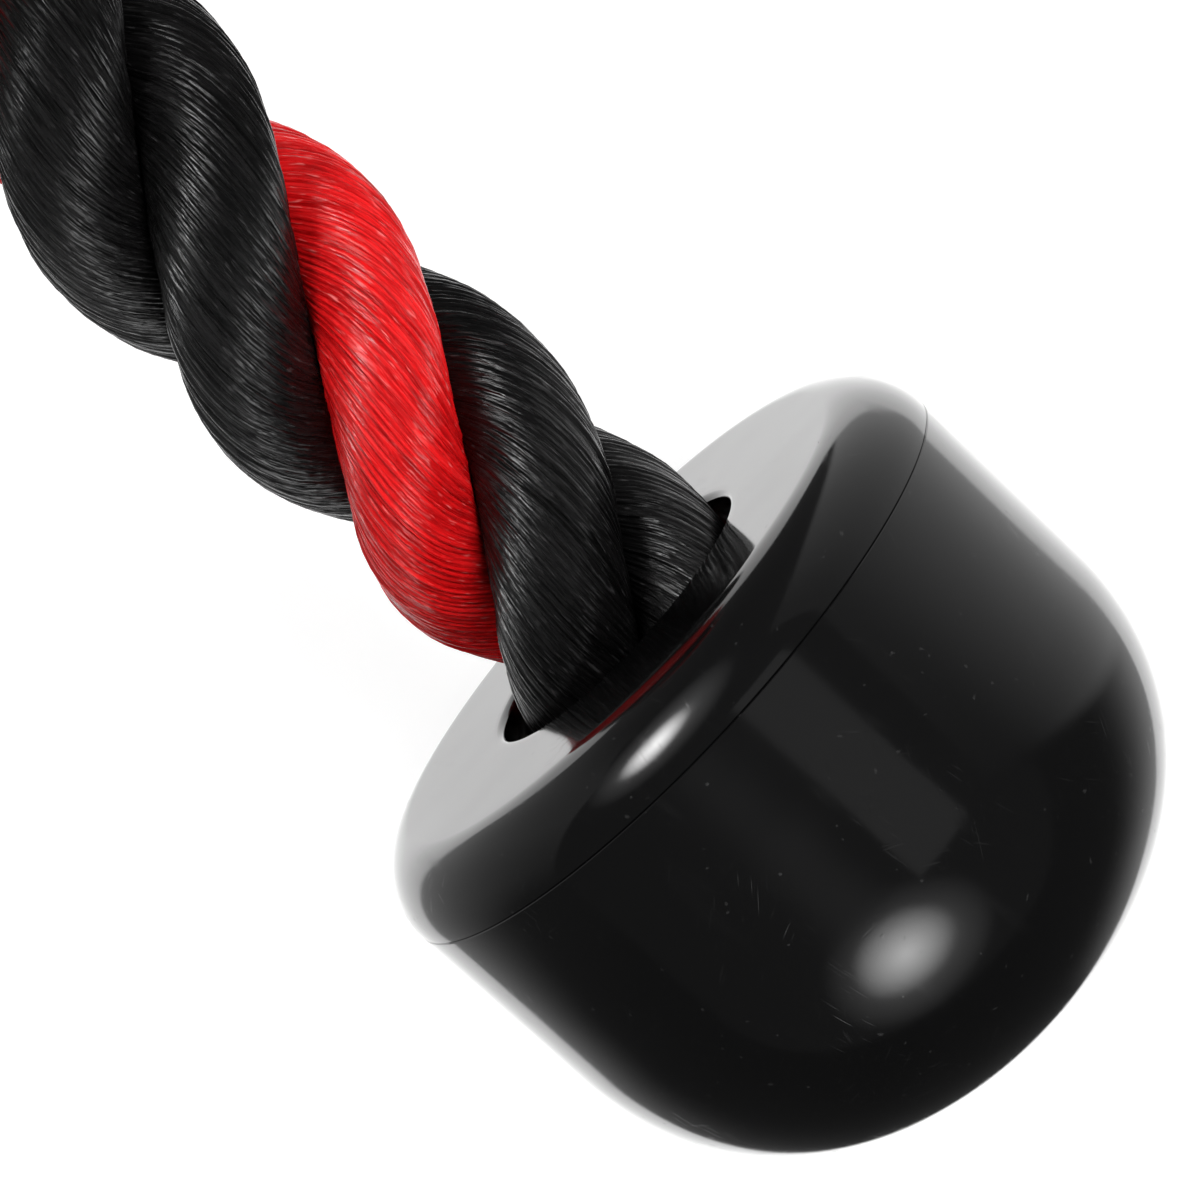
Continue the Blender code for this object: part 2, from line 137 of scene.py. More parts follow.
def surface(name, grid, ring=False):
    """A mesh from a grid of points (rows, columns, 3) that closes sideways. Its two end rows are joined
    to each other in a ring, and each is closed by a fan to its own middle otherwise."""
    rows, columns, _ = grid.shape
    points = grid.reshape(-1, 3)
    faces = [grid_faces(rows, columns, ring)]
    if not ring:
        points = np.concatenate((points, grid[[0, -1]].mean(1)))
        first, last = np.arange(columns), np.arange(columns) + (rows - 1) * columns
        count = rows * columns
        faces.append(np.concatenate((fan_faces(first, count, True), fan_faces(last, count + 1, False))))
    return link_mesh(name, points, faces)


# %% Turned pieces: a profile spun round an axis
def lathe(name, profile, place, steps=192, ring=True):
    """Spins a profile of (radius, height) pairs round the Z axis of place, a matrix.

    A ring's profile is closed; any other runs from close to the axis to close to the axis, and the fan
    at each end closes the pole.
    """
    radius, height = np.array(profile, float).T
    angle = np.linspace(0, math.tau, steps, endpoint=False)
    around = np.stack((np.cos(angle), np.sin(angle), np.zeros(steps)), -1)
    grid = radius[:, None, None] * around + height[:, None, None] * np.array((0, 0, 1.0))
    turn = np.array(place)
    return surface(name, grid @ turn[:3, :3].T + turn[:3, 3], ring)


def corner(centre, radii, start, end, count=8, power=2.0):
    """Points on a superellipse about centre: each side is a radius times cos or sin to the 2 / power."""
    angle = np.radians(np.linspace(start, end, count))
    across, along = np.cos(angle), np.sin(angle)
    x = centre[0] + radii[0] * np.sign(across) * np.abs(across) ** (2 / power)
    y = centre[1] + radii[1] * np.sign(along) * np.abs(along) ** (2 / power)
    return list(zip(x, y))


def crease(obj, angle=35):
    """Edges sharper than the angle stay sharp in the shading."""
    obj.data.set_sharp_from_angle(angle=math.radians(angle))
    return obj


print("surface tools ready")

# %% [markdown]
# ## The rope's route
#
# The rope lies open on the floor in one smooth line: out of the left stopper, through the collar in the
# middle and into the right stopper. Its points are those of the solid tubes. A Catmull-Rom curve runs
# through them, and is measured out into even steps. At each step the line gets a small frame: T along
# it, B as near to straight up as T allows, and N to its side.

# %% The route, and a frame at every half millimetre
ROPE_RADIUS = 0.015
COLLAR_Y = 0.0799
COLLAR_HEIGHT = 0.019904
STOPPER_HEIGHT = 0.037384
STOPPER_HEADING = math.radians(-44.5)
MIDDLE_HALF_LENGTH = 0.02425
DEPTHS_IN_STOPPER = (0.0051, 0.0359, 0.0389)
STEP = 0.0005
# x, y, and how far the rope has risen from the collar's height to the stopper's, as a share
ROPE_ROUTE = np.array(
    [
        (0.0400, 0.0797, 0.000), (0.0509, 0.0787, 0.008), (0.0615, 0.0759, 0.028),
        (0.0698, 0.0722, 0.054), (0.0782, 0.0668, 0.090), (0.0855, 0.0601, 0.133),
        (0.0917, 0.0522, 0.182), (0.0966, 0.0436, 0.238), (0.1000, 0.0343, 0.297),
        (0.1025, 0.0245, 0.360), (0.1071, 0.0050, 0.490), (0.1136, -0.0139, 0.621),
        (0.1223, -0.0319, 0.745), (0.1331, -0.0486, 0.852), (0.1451, -0.0640, 0.936),
        (0.1580, -0.0791, 0.987), (0.1718, -0.0934, 1.000), (0.1862, -0.1072, 1.000),
        (0.2003, -0.1219, 1.000),
    ]
)
INTO_STOPPER = np.array((math.cos(STOPPER_HEADING), math.sin(STOPPER_HEADING), 0.0))


def half_route():
    """The right half's points, from the collar's end to the rope's end inside the stopper."""
    route = ROPE_ROUTE.copy()
    route[:, 2] = COLLAR_HEIGHT + route[:, 2] * (STOPPER_HEIGHT - COLLAR_HEIGHT)
    beside_collar = [(MIDDLE_HALF_LENGTH, COLLAR_Y, COLLAR_HEIGHT)]
    inside = route[-1] + np.outer(DEPTHS_IN_STOPPER, INTO_STOPPER)
    return np.concatenate((beside_collar, route, inside))


def smooth_line(points, substeps=24):
    """The Catmull-Rom curve through the points: b + (c-a)t/2 + (2a-5b+4c-d)t2/2 + (3b-a-3c+d)t3/2
    between b and c, in steps of even length."""
    padded = np.concatenate(([2 * points[0] - points[1]], points, [2 * points[-1] - points[-2]]))
    a, b, c, d = (padded[i : len(padded) - 3 + i, None] for i in range(4))
    t = np.linspace(0, 1, substeps, endpoint=False)[None, :, None]
    fine = (2 * b + (c - a) * t + (2 * a - 5 * b + 4 * c - d) * t**2 + (3 * b - a - 3 * c + d) * t**3) / 2
    fine = np.concatenate((fine.reshape(-1, 3), points[-1:]))
    length = np.concatenate(([0], np.cumsum(np.linalg.norm(np.diff(fine, axis=0), axis=1))))
    even = np.linspace(0, length[-1], round(length[-1] / STEP) + 1)
    return even, np.stack([np.interp(even, length, fine[:, i]) for i in range(3)], -1)


def unit(vectors):
    """The same directions with a length of one: each vector divided by its length."""
    return vectors / np.linalg.norm(vectors, axis=-1, keepdims=True)


right_half = half_route()
left_half = right_half * (-1, 1, 1)
distance, line = smooth_line(np.concatenate((left_half[::-1], [(0, COLLAR_Y, COLLAR_HEIGHT)], right_half)))
along = unit(np.gradient(line, axis=0))
above = unit(np.array((0, 0, 1.0)) - along[:, 2:] * along)
beside = np.cross(above, along)
MIDDLE = distance[-1] / 2
MOUTH = distance[-1] - DEPTHS_IN_STOPPER[-1]
print(f"rope {distance[-1]:.4f} m long, its mouth in the right stopper at {MOUTH:.4f} m")

# %% [markdown]
# ## The lay
#
# Three strands, one red and two black, are laid right-handed round each other, one turn in 70 mm. Each
# strand is itself a bundle of about fifty yarns, twisted the other way, so that the yarns on the outside
# run nearly in line with the rope. A strand is made here as its yarns' skin: a grid whose lines follow
# the yarns. Round each strand the grid is cut off where it meets its two neighbours, a sixth of a turn
# to either side, which presses the strands flat against each other and leaves the deep grooves between.

# %% Measures of the strands
LAY = 0.070
STRAND_PLACE = 0.0085
STRAND_HALF_HEIGHT = 0.0065
STRAND_HALF_WIDTH = 0.0066
INNER_SWELL = 0.20
CROWN_BEFORE_MOUTH = 0.034
YARNS = 52
POINTS_A_YARN = 5
ROWS = 340
YARN_SWAY = 0.26
YARN_ROUNDNESS = 0.6
YARN_RELIEF = 0.00030
YARN_UNEVENNESS = 0.00013
ROPE_SKIN_LIMIT = 0.01512
ROPE_SKIN_SOFTNESS = 0.00004
FLANK_SOFTNESS = 0.02
STRAND_GAP = 0.00006
EVEN_SIXTH = math.pi / 3
RED_SIXTH = math.radians(55.5)
BLACK_SIXTH = (math.pi - RED_SIXTH) / 2
EVEN_OUT = 0.010
LAY_SLOPE = math.atan(math.tau * STRAND_PLACE / LAY)
YARN_SHARE = 0.88
# At a share of 1, a yarn's turn about the strand undoes the strand's lay, and it runs along the rope
YARN_TURN = -YARN_SHARE * (math.tau * ROPE_RADIUS / LAY) / (STRAND_HALF_WIDTH * math.cos(LAY_SLOPE))


def at(values, where):
    """The route's values at any distances along it."""
    return np.stack([np.interp(where, distance, values[:, i]) for i in range(3)], -1)


def crown_phase():
    """The red strand's turn at the start, for its crown to face the camera shortly before the mouth."""
    where = MOUTH - CROWN_BEFORE_MOUTH
    towards = np.array(CAMERA_PLACE) - at(line, where)
    angle = math.atan2(towards @ at(above, where), towards @ at(beside, where))
    return angle - math.tau * where / LAY


def soft_least(value, limit, softness):
    """The smaller of two numbers, with the corner between them rounded."""
    return -softness * np.logaddexp(-value / softness, -limit / softness)


def wander(random, count, where, wavelengths):
    """One slow wavy line of values, each within about 1, for each of count yarns."""
    total = 0
    for wavelength in wavelengths:
        phase = random.uniform(0, math.tau, count)
        stretch = random.uniform(0.8, 1.25, count)
        total = total + np.sin(math.tau * where / wavelength * stretch + phase)
    return total / math.sqrt(len(wavelengths))


# %% One strand's skin
def strand_grid(phase, sixth, start, end, seed):
    """Points of a strand from start to end, and how deep in the dip between two yarns each lies.

    At distance s and angle u round the strand, a point is x = place + a cos u outwards, y = b cos(slope)
    sin u sideways and z = -b sin(slope) sin u along. Here b grows a little on the inner half, so that
    the strands meet there without a gap. The point's angle from the strand's middle line is
    atan2(y, x) - 2 pi z / lay. It is held within a sixth of a turn, and laid out about the route.
    """
    random = np.random.default_rng(seed)
    s = np.linspace(start, end, ROWS)[:, None]
    yarn = np.arange(YARNS)
    edges = yarn + YARN_SWAY * wander(random, YARNS, s, (0.019, 0.043, 0.083))
    following = np.roll(edges, -1, axis=1)
    following[:, -1] += YARNS
    share = np.arange(POINTS_A_YARN) / POINTS_A_YARN
    place = edges[:, :, None] + share * (following - edges)[:, :, None]
    around = place.reshape(ROWS, -1) * math.tau / YARNS + YARN_TURN * (s - start)
    swell = np.sin(math.pi * share) ** YARN_ROUNDNESS
    depth = np.clip(0.75 + 0.35 * wander(random, YARNS, s, (0.009, 0.021, 0.047)), 0.2, 1.2)
    between = 1 - share
    depth = depth[:, :, None] * between + np.roll(depth, -1, axis=1)[:, :, None] * share
    dip = depth.reshape(ROWS, -1) * np.tile(1 - swell, YARNS)
    uneven = np.repeat(wander(random, YARNS, s, (0.017, 0.045, 0.120)), POINTS_A_YARN, axis=1)
    grown = YARN_UNEVENNESS * uneven * (1 - dip) - YARN_RELIEF * dip
    outwards = STRAND_PLACE + (STRAND_HALF_HEIGHT + grown) * np.cos(around)
    inner = np.maximum(-np.cos(around), 0)
    half_width = STRAND_HALF_WIDTH * sixth / EVEN_SIXTH * (1 + INNER_SWELL * inner)
    width = (half_width + grown * (1 - inner)) * np.sin(around)
    near_end = np.clip(np.minimum(s - start, end - s) / EVEN_OUT, 0, 1)
    shift = -width * math.sin(LAY_SLOPE) * near_end**2 * (3 - 2 * near_end)
    sideways = width * math.cos(LAY_SLOPE)
    radius = soft_least(np.hypot(outwards, sideways), ROPE_SKIN_LIMIT, ROPE_SKIN_SOFTNESS)
    turn = np.arctan2(sideways, outwards) - math.tau * shift / LAY
    limit = sixth - STRAND_GAP / radius
    turn = np.sign(turn) * np.maximum(soft_least(np.abs(turn), limit, FLANK_SOFTNESS), 0)
    where = s + shift
    angle = (phase + math.tau * where / LAY + turn)[..., None]
    spoke = np.cos(angle) * at(beside, where) + np.sin(angle) * at(above, where)
    return at(line, where) + radius[..., None] * spoke, dip


def mark_yarns(obj, dip):
    """Gives the skin a UV map, U counting yarns and V millimetres along, and the dips as an attribute."""
    mesh = obj.data
    rows, columns = dip.shape
    corners = np.zeros(len(mesh.loops), np.int32)
    mesh.loops.foreach_get("vertex_index", corners)
    skin = corners[: 4 * (rows - 1) * columns].reshape(-1, 4)
    row, column = skin // columns, skin % columns
    over_the_seam = (column == 0) & (column.max(1, keepdims=True) == columns - 1)
    yarns = (column + over_the_seam * columns) / POINTS_A_YARN
    places = np.zeros((len(corners), 2), np.float32)
    places[: skin.size] = np.stack((yarns, row * MIDDLE / ROWS * 1000), -1).reshape(-1, 2)
    mesh.uv_layers.new(name="yarns").data.foreach_set("uv", places.ravel())
    depth = np.concatenate((dip.ravel(), (0, 0))).astype(np.float32)
    mesh.attributes.new("dip", "FLOAT", "POINT").data.foreach_set("value", depth)


def make_strand(name, phase, sixth, start, end, seed):
    """The skin of one strand as a mesh, marked for its finish."""
    grid, dip = strand_grid(phase, sixth, start, end, seed)
    obj = surface(name, grid)
    mark_yarns(obj, dip)
    return obj


print(f"lay slope {math.degrees(LAY_SLOPE):.1f} degrees, yarns turn {YARN_TURN / 1000:.3f} a mm")

# %% [markdown]
# ## Finishes
#
# A finish is a sum of patterns. Here a node's output can be added and multiplied as a number in Python,
# which adds the Math nodes, so that a material reads as a few lines of sums.

# %% A number that is a node's output
class Value:
    """A node's output that works as a number in Python sums: each sign adds one Math node."""

    def __init__(self, finish, socket):
        self.finish, self.socket = finish, socket

    def maths(self, operation, *values):
        return self.finish.node("ShaderNodeMath", {"operation": operation}, dict(enumerate(values)))

    def __add__(self, other):
        return self.maths("ADD", self, other)

    def __sub__(self, other):
        return self.maths("SUBTRACT", self, other)

    def __rsub__(self, other):
        return self.maths("SUBTRACT", other, self)

    def __mul__(self, other):
        return self.maths("MULTIPLY", self, other)

    __radd__ = __add__
    __rmul__ = __mul__


# %% A finish under construction
class Finish:
    """A material. Sockets that are the same all over it are set on the shader at once."""

    def __init__(self, name, constants):
        self.material = bpy.data.materials.new(name)
        self.material.use_nodes = True
        self.tree = self.material.node_tree
        self.shader = self.tree.nodes["Principled BSDF"]
        for socket, value in constants.items():
            self.shader.inputs[socket].default_value = value

    def node(self, kind, settings=None, values=None, output=0):
        """Any node: its settings first, then the values or links of its sockets."""
        made = self.tree.nodes.new(kind)
        for key, value in (settings or {}).items():
            setattr(made, key, value)
        for key, value in (values or {}).items():
            if isinstance(value, Value):
                self.tree.links.new(value.socket, made.inputs[key])
            else:
                made.inputs[key].default_value = value
        return Value(self, made.outputs[output])

    def feed(self, socket, value):
        self.tree.links.new(value.socket, self.shader.inputs[socket])

    def vector(self, x, y, z=0.0):
        return self.node("ShaderNodeCombineXYZ", {}, {0: x, 1: y, 2: z})

    def parts(self, vector):
        split = self.node("ShaderNodeSeparateXYZ", {}, {0: vector}).socket.node
        return [Value(self, split.outputs[i]) for i in range(3)]

    def stretched(self, vector, sizes, turn=(0, 0, 0)):
        """Turns the vector first, then divides it by the sizes, one along each of the turned axes."""
        values = {"Vector": vector, "Rotation": turn, "Scale": sizes}
        return self.node("ShaderNodeMapping", {"vector_type": "TEXTURE"}, values)

    def noise(self, vector, scale=1.0, detail=2.0, roughness=0.5):
        values = {"Vector": vector, "Scale": scale, "Detail": detail, "Roughness": roughness}
        return self.node("ShaderNodeTexNoise", {}, values)

    def rise(self, value, low, high, least=0.0, most=1.0):
        """Goes from least to most as the value goes from low to high, and stays there."""
        ends = {"Value": value, "From Min": low, "From Max": high, "To Min": least, "To Max": most}
        return self.node("ShaderNodeMapRange", {"interpolation_type": "SMOOTHSTEP"}, ends)

    def blend(self, share, first, second):
        """A colour between two, each a link or three numbers."""
        first, second = (c if isinstance(c, Value) else (*c, 1.0) for c in (first, second))
        return self.node("ShaderNodeMix", {"data_type": "RGBA"}, {0: share, 6: first, 7: second}, output=2)

    def bump(self, height, distance, strength=1.0):
        values = {"Strength": strength, "Distance": distance, "Height": height}
        self.feed("Normal", self.node("ShaderNodeBump", {}, values))

    def object_place(self):
        return self.node("ShaderNodeTexCoord", {}, {}, output="Object")


def wear(obj, finish):
    """Puts the finish on an object in place of any other."""
    obj.data.materials.clear()
    obj.data.materials.append(finish.material)
    return obj


def put_on(obj, finish, slot, body, *nodes):
    """The last steps of any rigid piece: finish, body, and the solids that it stands for. The slot is not
    used.
    """
    crease(wear(obj, finish))
    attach(obj, body)
    if nodes:
        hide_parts(*nodes)
    return obj


print("finish tools ready")

# %% [markdown]
# ## The yarn's finish
#
# The yarns are silky plastic filaments, each thinner than a hair, that lie side by side. Seen close, a
# yarn is a band of fine glossy lines with darker lines between. The patterns therefore read the UV map
# of the strands: they change fast across the yarns and slowly along them.

# %% Red and black yarn
def yarn_finish(name, dark, middle, light, painted_glint, roughness):
    """Colour and gloss of a strand: filaments that stray from the yarns' lines and slow patches, with a
    painted highlight of short bright streaks and painted shade in the dips. The bump tilts short stretches
    of filament, which then catch the lamps as real glints."""
    finish = Finish(name, {"Specular IOR Level": 0.4})
    across, along_it, _ = finish.parts(finish.node("ShaderNodeUVMap", {"uv_map": "yarns"}))
    stray = finish.noise(finish.vector(across * 0.45, along_it * 0.16, 3.0), 1, 2) - 0.5
    across = across + stray * 1.5
    ribbons = finish.noise(finish.vector(across * 1.4, along_it * 0.24), 1, 1)
    filaments = finish.noise(finish.vector(across * 3.0, along_it * 0.50, 5.0), 1, 2, 0.6)
    patches = finish.noise(finish.vector(across * 0.4, along_it * 0.045, 9.0), 1, 2)
    glints = finish.noise(finish.vector(across * 2.1, along_it * 0.75, 7.0), 1, 1)
    dip = finish.node("ShaderNodeAttribute", {"attribute_name": "dip"}, {}, output="Fac")
    body = finish.blend(finish.rise(ribbons * 0.5 + filaments * 0.5, 0.36, 0.62), dark, middle)
    body = finish.blend(finish.rise(patches, 0.40, 0.66, 0.0, 0.7), body, light)
    # Painted highlight: short bright streaks on the yarns' crowns, kept out of the dips.
    body = finish.blend(finish.rise(glints, 0.62, 0.78, 0.0, 0.75) * (1 - dip), body, painted_glint)
    # Painted shade: the dips between the yarns darken towards the dark colour.
    finish.feed("Base Color", finish.blend(dip * 0.8, body, dark))
    finish.feed("Roughness", finish.rise(filaments, 0.3, 0.7, roughness - 0.07, roughness + 0.10))
    finish.bump(ribbons * 0.45 + filaments * 0.25 + glints * 0.30, 0.00042, 0.9)
    return finish


# Each finish's fourth colour is painted highlight: the bright streaks on the yarns' crowns.
RED_YARN = yarn_finish(
    "red_yarn", (0.36, 0.002, 0.003), (0.76, 0.007, 0.009), (0.88, 0.014, 0.016), (0.95, 0.24, 0.23), 0.23
)
BLACK_YARN = yarn_finish(
    "black_yarn", (0.0010, 0.0010, 0.0010), (0.0034, 0.0032, 0.0033), (0.0062, 0.0058, 0.0060),
    (0.050, 0.048, 0.049), 0.25,
)
print("yarn finishes:", RED_YARN.material.name, BLACK_YARN.material.name)

# %% Lay the strands
RED_PHASE = crown_phase()
APART = RED_SIXTH + BLACK_SIXTH
STRANDS = (
    ("red_strand", RED_PHASE, RED_SIXTH, RED_YARN, "rope_red"),
    ("black_strand_a", RED_PHASE + APART, BLACK_SIXTH, BLACK_YARN, "rope_black"),
    ("black_strand_b", RED_PHASE - APART, BLACK_SIXTH, BLACK_YARN, "rope_black"),
)


def make_half(side_name, start, end, seed):
    """Three strands of one half, laid along the route between the collar and the stopper."""
    strands = []
    for number, (name, phase, sixth, finish, slot) in enumerate(STRANDS):
        strand = make_strand(f"{side_name}_{name}", phase, sixth, start, end, seed + number)
        wear(strand, finish)
        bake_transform(strand)
        strands.append(strand)
    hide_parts(f"{side_name}_rope_bend", f"{side_name}_rope_leg", "rope_middle")
    return strands


right_strands = make_half("right", MIDDLE, distance[-1], 11)
make_half("left", 0.0, MIDDLE, 23)
strand_faces = sum(len(strand.data.polygons) for strand in right_strands)
print("each half of the rope:", round(MIDDLE, 4), "m,", strand_faces, "faces")

# %% [markdown]
# ## Plastic, chrome, zinc and rubber
#
# None of these surfaces is even. Moulded plastic has a faint ripple, hair-thin scratches and a few specks;
# polished chrome has smears; zinc plate is satin with a hint of straw and blue; rubber is dull and dusty.
# These patterns read Object coordinates, in metres, so a scale of 1000 makes marks a millimetre apart.

# %% Scratches, and the stopper's plastic
def scratches(finish, place, turns, width=0.00022, length=0.03, from_level=0.70, to_level=0.80):
    """Straight fine lines: noise squeezed thin across one direction, of which only the peaks are kept."""
    total = None
    for turn in turns:
        squeezed = finish.stretched(place, (width, length, length), turn)
        lines = finish.rise(finish.noise(squeezed, 1, 0), from_level, to_level)
        total = lines if total is None else total.maths("MAXIMUM", total, lines)
    patches = finish.rise(finish.noise(place, 70, 1), 0.48, 0.62)
    return total * patches


def plastic_finish():
    """Moulded black plastic: nearly black, glossy, with a sink ripple, a few fine scratches and specks."""
    finish = Finish("stopper_plastic", {"IOR": 1.54})
    place = finish.object_place()
    turns = ((0.3, 0.7, 0.2), (1.4, -0.5, 0.9), (-0.6, 1.2, 2.1))
    lines = scratches(finish, place, turns, 0.00012, 0.004, 0.77, 0.86)
    specks = finish.rise(finish.noise(place, 1500, 0), 0.81, 0.87)
    haze = finish.noise(place, 45, 3, 0.6)
    strokes = finish.noise(finish.stretched(place, (0.003, 0.014, 0.014), (0.4, 0.2, 0.9)), 1, 2)
    rubbed = finish.rise(strokes, 0.60, 0.74)
    worn = lines * 0.5 + specks
    finish.feed("Base Color", finish.blend(worn * 0.25, (0.0026, 0.0026, 0.0027), (0.05, 0.05, 0.05)))
    finish.feed("Roughness", finish.rise(haze, 0.3, 0.7, 0.09, 0.13) + worn * 0.12 + rubbed * 0.07)
    ripple = finish.noise(place, 70, 1) * 0.6 + finish.noise(place, 900, 1) * 0.012
    finish.bump(ripple - lines * 0.04 + specks * 0.02, 0.00012)
    return finish


# %% Chrome, zinc plate and rubber
def chrome_finish():
    """Polished chrome plate: bright, with faint smears and polishing lines."""
    finish = Finish("chrome_plate", {"Metallic": 1.0})
    place = finish.object_place()
    smears = finish.noise(place, 90, 3, 0.6)
    lines = scratches(finish, place, ((0.2, 0.1, 1.2), (1.1, 0.4, 0.3)), width=0.0001, length=0.02)
    finish.feed("Base Color", finish.blend(smears, (0.60, 0.61, 0.63), (0.74, 0.745, 0.75)))
    finish.feed("Roughness", finish.rise(smears, 0.35, 0.75, 0.05, 0.15) + lines * 0.15)
    finish.bump(finish.noise(place, 160, 1) - lines * 0.1, 0.00003)
    return finish


def zinc_finish():
    """Zinc plate: satin, with blotches of straw and blue and a fine tumbled grain."""
    finish = Finish("zinc_plate", {"Metallic": 1.0})
    place = finish.object_place()
    blotches = finish.rise(finish.noise(place, 220, 2), 0.35, 0.65)
    grain = finish.noise(place, 2400, 2)
    finish.feed("Base Color", finish.blend(blotches, (0.50, 0.53, 0.57), (0.60, 0.57, 0.50)))
    finish.feed("Roughness", finish.rise(grain, 0.3, 0.7, 0.26, 0.44))
    finish.bump(grain, 0.00003)
    return finish


def rubber_finish():
    """Dull black rubber with a dusty bloom."""
    finish = Finish("liner_rubber", {"Specular IOR Level": 0.35})
    place = finish.object_place()
    bloom = finish.rise(finish.noise(place, 300, 4, 0.65), 0.35, 0.75)
    finish.feed("Base Color", finish.blend(bloom, (0.010, 0.010, 0.010), (0.035, 0.034, 0.033)))
    finish.feed("Roughness", finish.rise(bloom, 0.0, 1.0, 0.62, 0.82))
    finish.bump(finish.noise(place, 1500, 2), 0.00006)
    return finish


PLASTIC, CHROME, ZINC, RUBBER = plastic_finish(), chrome_finish(), zinc_finish(), rubber_finish()
print("finishes:", [f.material.name for f in (PLASTIC, CHROME, ZINC, RUBBER)])

# %% [markdown]
# ## The stoppers
#
# A stopper is two moulded shells that meet at a seam round its widest place. The lid has a flat face
# with the rope's hole, a generous round shoulder, and a skirt that plugs into the cup. The cup is a
# barrel with hardly any draft and a domed end. Both are turned profiles; each edge at the seam is broken
# by a tenth of a millimetre, and that makes the thin dark line.

# %% Measures of a stopper
STOPPER_RADIUS = 0.0375
FACE_RADIUS = 0.0306
SHOULDER_DEPTH = 0.0078
SHOULDER_POWER = 1.92
LID_THICKNESS = 0.0048
HOLE_RADIUS = 0.0167
HOLE_ROUNDING = 0.0007
SKIRT_RADIUS = 0.0337
SKIRT_THICKNESS = 0.0025
SKIRT_LENGTH = 0.0080
EDGE_BREAK = 0.00012
CUP_RIM = SHOULDER_DEPTH + 0.00004
CUP_WALL = 0.0035
BARREL_END = SHOULDER_DEPTH + 0.0220
BARREL_DRAFT = 0.00025
DOME_DEPTH = 0.0315
DOME_POWER = 2.2
FLOOR_THICKNESS = 0.0040
POST_OUTER_RADIUS = 0.0135
POST_INNER_RADIUS = 0.0090
POST_TOP = 0.0392
NEAR_POLE = 89.6


def stand(origin, up, side):
    """A matrix whose Z is up and whose X is side, at the origin given."""
    up, side = Vector(up).normalized(), Vector(side).normalized()
    turn = Matrix((side, up.cross(side), up)).transposed()
    return Matrix.Translation(origin) @ turn.to_4x4()


def lid_profile():
    """From the hole's rounded edge over the face and the shoulder to the seam, then back inside."""
    mouth = corner((HOLE_RADIUS + HOLE_ROUNDING, HOLE_ROUNDING), (-HOLE_ROUNDING, -HOLE_ROUNDING), 0, 90)
    face = [(radius, 0) for radius in np.linspace(HOLE_RADIUS + 2 * HOLE_ROUNDING, FACE_RADIUS - 0.001, 10)]
    radii = (STOPPER_RADIUS - FACE_RADIUS, -SHOULDER_DEPTH)
    shoulder = corner((FACE_RADIUS, SHOULDER_DEPTH), radii, 90, 3, 40, SHOULDER_POWER)
    seam = [(STOPPER_RADIUS, SHOULDER_DEPTH - EDGE_BREAK), (STOPPER_RADIUS - EDGE_BREAK, SHOULDER_DEPTH)]
    skirt_end = SHOULDER_DEPTH + SKIRT_LENGTH
    skirt_inside = SKIRT_RADIUS - SKIRT_THICKNESS
    inside = [
        (SKIRT_RADIUS, SHOULDER_DEPTH), (SKIRT_RADIUS, skirt_end - EDGE_BREAK),
        (SKIRT_RADIUS - EDGE_BREAK, skirt_end), (skirt_inside, skirt_end),
        (skirt_inside, LID_THICKNESS), (HOLE_RADIUS, LID_THICKNESS),
    ]
    return mouth + face + shoulder + seam + inside


def cup_profile():
    """From the dome's pole down the outside to the rim at the seam, and back inside to the post."""
    side = STOPPER_RADIUS - BARREL_DRAFT
    dome = corner((0, BARREL_END), (side, DOME_DEPTH), NEAR_POLE, 0, 64, DOME_POWER)
    barrel = [(side + BARREL_DRAFT * share, BARREL_END - (BARREL_END - CUP_RIM - EDGE_BREAK) * share)
              for share in np.linspace(0.1, 1, 10)]
    inner = STOPPER_RADIUS - CUP_WALL
    rim = [(STOPPER_RADIUS - EDGE_BREAK, CUP_RIM), (inner, CUP_RIM)]
    inner_radii = (inner - BARREL_DRAFT, DOME_DEPTH - FLOOR_THICKNESS)
    inner_dome = corner((0, BARREL_END), inner_radii, 0, 90, 24, DOME_POWER)
    wall = [point for point in inner_dome if point[0] > POST_OUTER_RADIUS]
    floor = BARREL_END + DOME_DEPTH - FLOOR_THICKNESS
    post = [
        (POST_OUTER_RADIUS, (wall[-1][1] + floor) / 2),
        (POST_OUTER_RADIUS, POST_TOP),
        (POST_INNER_RADIUS, POST_TOP),
        (POST_INNER_RADIUS, floor),
        (POST_INNER_RADIUS / 20, floor),
    ]
    return dome + barrel + rim + wall + post


# %% Turn the lids and the cups
def make_stopper(side_name, side):
    """Lid and cup, turned about the line on which the rope goes in."""
    into = Vector((side * INTO_STOPPER[0], INTO_STOPPER[1], 0))
    mouth = Vector((side * ROPE_ROUTE[-1][0], ROPE_ROUTE[-1][1], STOPPER_HEIGHT))
    place = stand(mouth, into, (0, 0, -1))
    lid = lathe(f"{side_name}_moulded_lid", lid_profile(), place, 256)
    cup = lathe(f"{side_name}_moulded_cup", cup_profile(), place, 256, ring=False)
    body = f"{side_name}_stopper"
    put_on(lid, PLASTIC, "stopper_plastic", body, f"{body}_lid")
    put_on(cup, PLASTIC, "stopper_plastic", body, f"{body}_cup")
    return lid, cup


for side_name, side in (("right", 1), ("left", -1)):
    pieces = make_stopper(side_name, side)
    print(side_name, "stopper:", [len(piece.data.polygons) for piece in pieces], "faces")

# %% [markdown]
# ## Inside the stoppers
#
# A crimped sleeve grips the rope's end, and a washer spreads its pull over the lid. Both are plain turned
# steel whose solids are right as they are, so they only get the zinc finish.

# %% Zinc on the sleeves and washers
for side_name in ("right", "left"):
    for node in ("crimp_sleeve", "retaining_washer"):
        wear(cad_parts[f"{side_name}_{node}"], ZINC)
print("zinc on", ZINC.material.users, "solids")

# %% [markdown]
# ## The collar and its small parts
#
# A length of steel tube holds the rope's middle, over a rubber liner whose lips show at both ends. Two
# rivets go right through. All of these are turned pieces too, about the rope's line or about a rivet.

